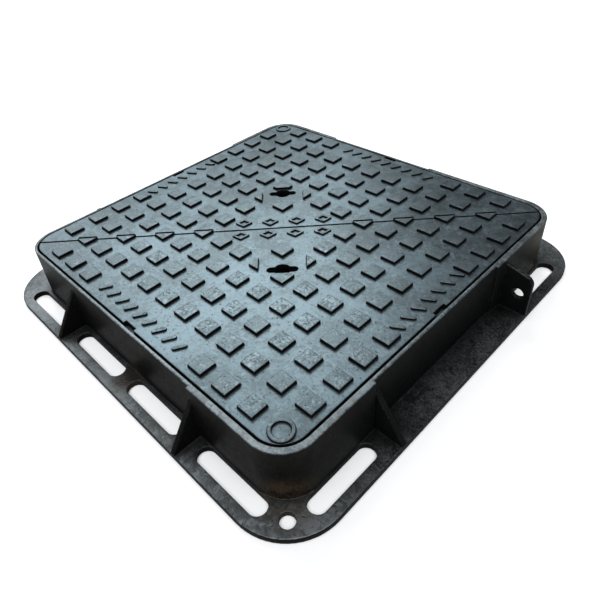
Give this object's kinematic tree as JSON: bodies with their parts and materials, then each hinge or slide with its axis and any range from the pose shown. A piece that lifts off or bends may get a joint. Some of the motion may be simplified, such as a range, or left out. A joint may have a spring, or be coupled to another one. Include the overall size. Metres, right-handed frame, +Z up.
{
  "type": "manhole cover",
  "caption": "Square ductile iron access cover of two triangular halves, split on the diagonal, in a flanged frame; both halves lift straight out.",
  "frame": {"origin": "centre of the frame, on the underside of its bed flange", "axes": "+Z up out of the cover; the frame's sides run along X and Y; the split between the covers runs from the -X -Y corner to the +X +Y corner"},
  "size_m": [0.756, 0.756, 0.109],
  "materials": {
    "frame_iron": "ductile iron as cast under thin black bitumen paint, greyer and mottled on the bed flange",
    "cover_iron": "ductile iron as cast under satin black bitumen paint with a pale blue-grey sheen, worn on the chequers",
    "zinc_steel": "dull zinc-plated steel fasteners"
  },
  "bodies": {
    "frame": {"frame": "frame_iron"},
    "front_cover": {"front_cover": "cover_iron", "link_bolt_left": "zinc_steel", "link_bolt_right": "zinc_steel", "head_washer_left": "zinc_steel", "head_washer_right": "zinc_steel", "nut_washer_left": "zinc_steel", "nut_washer_right": "zinc_steel", "lock_nut_left": "zinc_steel", "lock_nut_right": "zinc_steel"},
    "rear_cover": {"rear_cover": "cover_iron"}
  },
  "joints": [
    {"name": "lift_front", "type": "slide", "parent": "frame", "child": "front_cover", "axis": [0, 0, 1], "range_m": [0, 0.16]},
    {"name": "lift_rear", "type": "slide", "parent": "frame", "child": "rear_cover", "axis": [0, 0, 1], "range_m": [0, 0.16]}
  ],
  "couplings": [
    {"joint": "lift_rear", "follows": "lift_front", "ratio": 1}
  ]
}
